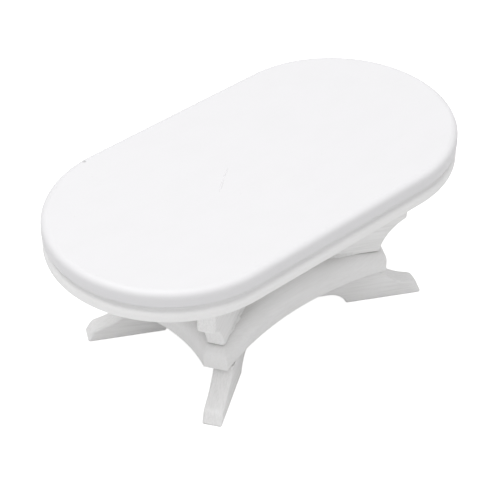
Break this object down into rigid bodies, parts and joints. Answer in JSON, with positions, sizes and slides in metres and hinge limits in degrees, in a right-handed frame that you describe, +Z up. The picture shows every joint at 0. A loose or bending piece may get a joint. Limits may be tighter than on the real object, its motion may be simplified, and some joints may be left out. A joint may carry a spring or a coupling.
{
  "type": "miniature dining table",
  "caption": "Dolls-house dining table with a racetrack-shaped moulded top on a crossed base of scrolled rails and a concave-sided shelf, painted white.",
  "frame": {"origin": "on the ground, under the middle of the top", "axes": "+X along the long axis of the top, +Y across it, +Z up"},
  "size_m": [0.1524, 0.0812, 0.0618],
  "materials": {
    "painted_top": "smooth satin white paint",
    "painted_bead": "satin white paint",
    "painted_rails": "satin white paint",
    "painted_shelf": "satin white paint",
    "painted_feet": "satin white paint",
    "bare_dowel": "bare birch"
  },
  "bodies": {
    "root": {"table_top": "painted_top", "beaded_sub_top": "painted_bead", "bracket_rail_over": "painted_rails", "bracket_rail_under": "painted_rails", "stretcher_shelf": "painted_shelf", "foot_rail_over": "painted_feet", "foot_rail_under": "painted_feet", "foot_dowels": "bare_dowel", "shelf_dowels": "bare_dowel", "top_dowels": "bare_dowel"}
  },
  "joints": []
}
